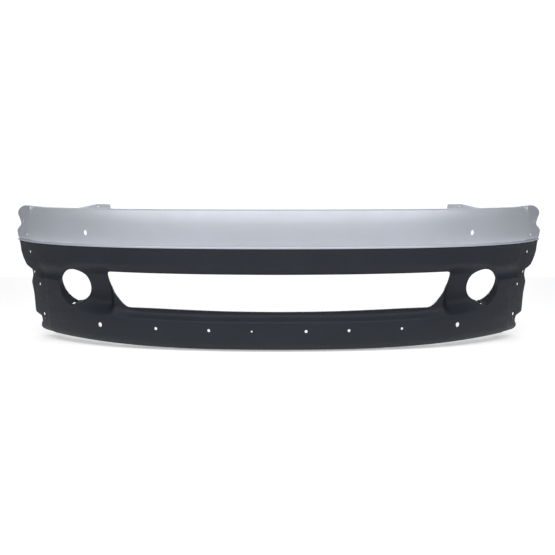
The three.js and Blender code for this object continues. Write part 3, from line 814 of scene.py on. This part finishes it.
def rivet_body(node, s):
    """Push-rivet body: rounded head, barbed shank split into four legs."""
    under = -(WALL + GAP)
    head = WALL + GAP
    profile = [(1.8, under - 6), (2.7, under - 6), (3.1, under - 4.5), (3.7, under - 2.2),
               (3.4, under - 0.6), (3.4, head), (6.9, head), (7.4, head + 0.4),
               (7.3, head + 1), (6.6, head + 1.4), (3.2, head + 1.5), (2.9, head + 1.3),
               (1.8, head + 1.3)]
    obj = to_object(node, turned(rivet_frame(s), profile))
    slots = [block(rivet_frame(s) @ Matrix.Rotation(a, 4, "Y"), (-5, under - 7, -0.5),
                   (5, under - 0.8, 0.5)) for a in (0, math.pi / 2)]
    for slot in slots:
        combine(obj, slot, "DIFFERENCE")
    return finished(obj, node, [NYLON])


def rivet_pin(node, s):
    seat = WALL + 1.8 + GAP
    profile = [(0, -8.5), (0.9, -8.4), (1.5, -7.4), (1.5, -3), (1.3, -2.6), (1.3, 1), (1.5, 1.4),
               (1.5, seat), (4.0, seat), (4.2, seat + 0.3), (4.0, seat + 0.9),
               (3.1, seat + 1.4), (1.4, seat + 1.6), (0, seat + 1.6)]
    return finished(to_object(node, turned(rivet_frame(s), profile)), node, [NYLON])


def screw(node, matrix, seat, tip):
    """Pan-head screw with a cross recess and a rolled thread."""
    thread = []
    y = tip + 1.4
    while y < seat - 1.4:
        thread += [(1.45, y), (1.9, y + 0.35), (1.9, y + 0.5), (1.45, y + 0.85)]
        y += 1.1
    dome = [(3.6 * math.cos(a), seat + 1.1 + 1.5 * math.sin(a))
            for a in np.linspace(0, math.pi / 2, 8)[:-1]]
    profile = [(0, tip), (0.6, tip + 0.2), (1.3, tip + 1.3), *thread, (1.9, seat - 0.3),
               (1.9, seat), (3.4, seat), (3.6, seat + 0.3), *dome, (0, seat + 2.6)]
    obj = to_object(node, turned(matrix, profile, 40))
    for turn in (0, math.pi / 2):
        bar = block(matrix @ Matrix.Rotation(turn, 4, "Y"), (-1.9, seat + 1.2, -0.42),
                    (1.9, seat + 3, 0.42))
        combine(obj, bar, "DIFFERENCE")
    return finished(obj, node, [STEEL])


def lamp_frame(node, side):
    """Ring that the fog lamp bolts to, with ribs, screw pads and a seat lip."""
    base = fog_frame(side)
    seat = FOG_BOSS + GAP
    inner, outer, depth = (FOG_RING[k] for k in ("inner", "outer", "depth"))
    profile = [(inner, seat + 0.5), (inner + 0.5, seat), (outer - 0.8, seat),
               (outer, seat + 0.8), (outer, seat + depth - 0.5), (outer - 0.5, seat + depth),
               (outer - 2, seat + depth), (outer - 2.5, seat + depth - 0.5),
               (outer - 2.5, seat + WALL + 1), (outer - 3.5, seat + WALL),
               (inner + 0.5, seat + WALL), (inner, seat + WALL - 0.5)]
    obj = to_object(node, turned(base, profile, 96))
    ribs = []
    for i in range(24):
        angle = i * 15 + 7.5
        if min(abs((angle - a + 180) % 360 - 180) for a in FOG_SCREW_ANGLES) < 9:
            continue
        turn = base @ Matrix.Rotation(math.radians(-angle) if side > 0 else
                                      math.radians(angle + 180), 4, "Y")
        ribs.append(prism(turn @ Matrix.Rotation(math.pi / 2, 4, "X"),
                          [(65, -(seat + 2.5)), (73, -(seat + 2.5)), (73, -(seat + 15)),
                           (71.5, -(seat + 15))], -0.8, 0.8))
    combine(obj, together(*ribs), "UNION")
    holes = [rod(fog_screw_frame(side, a), 2.4, seat - 1, seat + WALL + 1)
             for a in FOG_SCREW_ANGLES]
    combine(obj, together(*holes), "DIFFERENCE")
    return finished(obj, node, [NYLON])


def side_guide(node, side):
    """Angle rail with gussets and snap slots that holds the edge of the wing."""
    near, far = sorted(side * s for s in GUIDE["span"])
    front, rear, foot, top = (GUIDE[k] for k in ("front", "rear", "foot", "top"))
    section = rounded([(rear, top), (front, top), (front, foot), (front + 3, foot),
                       (front + 3, top - 3), (rear, top - 3)], 1.2, 4)
    loops = [[skin_point(s, p, z) for p, z in section] for s in np.linspace(near, far, 32)]
    obj = to_object(node, sweep(loops, closed=False))
    gussets = []
    for s in np.linspace(near + 8, far - 8, 8):
        turn = skin_frame(s, 0, 0) @ Matrix.Rotation(math.pi / 2, 4, "Z")
        gussets.append(prism(turn, [(front + 2, top - 2), (front + 2, foot + 4),
                                    (front + 5, foot + 4), (rear - 4, top - 7),
                                    (rear - 4, top - 2)], -0.9, 0.9))
    combine(obj, together(*gussets), "UNION")
    slots = []
    for s in np.linspace(near + 19, far - 19, 6):
        slots.append(block(skin_frame(s, 22, top), (-5, -2.5, -6), (5, 2.5, 6)))
    holes = [rod(skin_frame(side * s, front, GUIDE_SCREW_Z), 2.4, -1, 5) for s in GUIDE_SCREWS]
    combine(obj, together(*slots, *holes), "DIFFERENCE")
    return finished(obj, node, [NYLON])


def clip_nut(node, s):
    """Spring nut folded over the rear edge of the bottom flange."""
    play, sheet, width, rear = 0.6, 1.0, 18.0, 12.6
    top = -(WALL + play)
    outline = [(-10, top - sheet), (rear + sheet, top - sheet), (rear + sheet, play + sheet),
               (-12, play + sheet), (-12, play), (rear, play), (rear, top), (-10, top)]
    smooth = rounded(outline, 1.4, 5)
    base = clip_frame(s)
    loops = [[(x, down, back) for back, down in smooth] for x in (-width / 2, width / 2)]
    points, faces = sweep(loops, closed=False)
    obj = to_object(node, outward(placed(base, points), faces))
    collar = turned(base, [(3, top - sheet - 2.4), (3.7, top - sheet - 2.2),
                           (4.2, top - sheet + 0.1), (3, top - sheet + 0.1)], 32)
    combine(obj, collar, "UNION")
    combine(obj, rod(base, 3, -12, 12), "DIFFERENCE")
    corners = [prism(base, [(side * 9.1, -12.1), (side * 9.1, -8), (side * 5.5, -12.1)], -9, 3)
               for side in (-1, 1)]
    combine(obj, together(*corners), "DIFFERENCE")
    return finished(obj, node, [STEEL])


painted_skin()
grained_skin()
for i, s in enumerate(SEAM_RIVETS):
    rivet_body(f"seam_rivet_body_{i + 1:02d}", s)
    rivet_pin(f"seam_rivet_pin_{i + 1:02d}", s)
for name, side in (("left", -1), ("right", 1)):
    lamp_frame(f"fog_lamp_frame_{name}", side)
    side_guide(f"side_guide_{name}", side)
    for i, s in enumerate(GUIDE_SCREWS):
        screw(f"side_guide_screw_{name}_{i + 1}",
              skin_frame(side * s, GUIDE["front"], GUIDE_SCREW_Z),
              WALL + GAP, -4)
    for i, angle in enumerate(FOG_SCREW_ANGLES):
        screw(f"fog_frame_screw_{name}_{i + 1}", fog_screw_frame(side, angle),
              FOG_BOSS + WALL + 2 * GAP, FOG_SCREW_TIP)
for i, s in enumerate(CLIP_NUTS):
    clip_nut(f"undertray_clip_nut_{i + 1}", s)

# ---- stage ------------------------------------------------------------------------


def floor():
    size, z = 2.4, cad_box[0][2] - 0.0005
    mesh = bpy.data.meshes.new("floor")
    mesh.from_pydata([(-size, -size, z), (size, -size, z), (size, size, z), (-size, size, z)],
                     [], [(0, 1, 2, 3)])
    obj = bpy.data.objects.new("floor", mesh)
    bpy.context.scene.collection.objects.link(obj)
    material = bpy.data.materials.new("pale_floor")
    material.use_nodes = True
    shader = material.node_tree.nodes["Principled BSDF"]
    shader.inputs["Base Color"].default_value = (0.8, 0.8, 0.8, 1)
    shader.inputs["Roughness"].default_value = 0.9
    shader.inputs["Specular IOR Level"].default_value = 0.1
    shader.inputs["Emission Color"].default_value = (1, 1, 1, 1)
    shader.inputs["Emission Strength"].default_value = 0.4
    mesh.materials.append(material)


def sky():
    """White all round for the eye, and a weaker fill for the object."""
    world = bpy.data.worlds.new("studio")
    bpy.context.scene.world = world
    world.use_nodes = True
    tree = world.node_tree
    out = tree.nodes["World Output"]
    seen, fill = tree.nodes["Background"], tree.nodes.new("ShaderNodeBackground")
    seen.inputs["Color"].default_value = (1, 1, 1, 1)
    seen.inputs["Strength"].default_value = 1.05
    fill.inputs["Color"].default_value = (0.95, 0.97, 1, 1)
    fill.inputs["Strength"].default_value = 0.07
    rays, choose = tree.nodes.new("ShaderNodeLightPath"), tree.nodes.new("ShaderNodeMixShader")
    tree.links.new(rays.outputs["Is Camera Ray"], choose.inputs[0])
    tree.links.new(fill.outputs[0], choose.inputs[1])
    tree.links.new(seen.outputs[0], choose.inputs[2])
    tree.links.new(choose.outputs[0], out.inputs["Surface"])


def aim(obj, start, target):
    obj.location = start
    obj.rotation_euler = (Vector(target) - Vector(start)).to_track_quat("-Z", "Y").to_euler()


def soft_light(name, start, target, size, energy, colour=(1, 1, 1)):
    data = bpy.data.lights.new(name, "AREA")
    data.shape, data.size, data.size_y = "RECTANGLE", size[0], size[1]
    data.energy, data.color = energy, colour
    obj = bpy.data.objects.new(name, data)
    bpy.context.scene.collection.objects.link(obj)
    aim(obj, start, target)


floor()
sky()
soft_light("key", (0, -3.4, 2.0), (0, 0.05, -0.15), (6.5, 1.4), 74)
soft_light("overhead", (0, -0.9, 2.4), (0, 0.05, -0.2), (6.0, 1.6), 92)
soft_light("rear_fill", (0, 3.6, 1.0), (0, 0.2, -0.2), (3.5, 1.4), 45)

camera_data = bpy.data.cameras.new("camera")
camera_data.lens, camera_data.sensor_width = 65.19, 36.0
camera = bpy.data.objects.new("camera", camera_data)
bpy.context.scene.collection.objects.link(camera)
camera.location = (-0.0042, -3.035, 0.0853)
camera.rotation_euler = (math.radians(90 - 5.48), 0, 0)
bpy.context.scene.camera = camera
bpy.context.scene.view_settings.view_transform = "Standard"
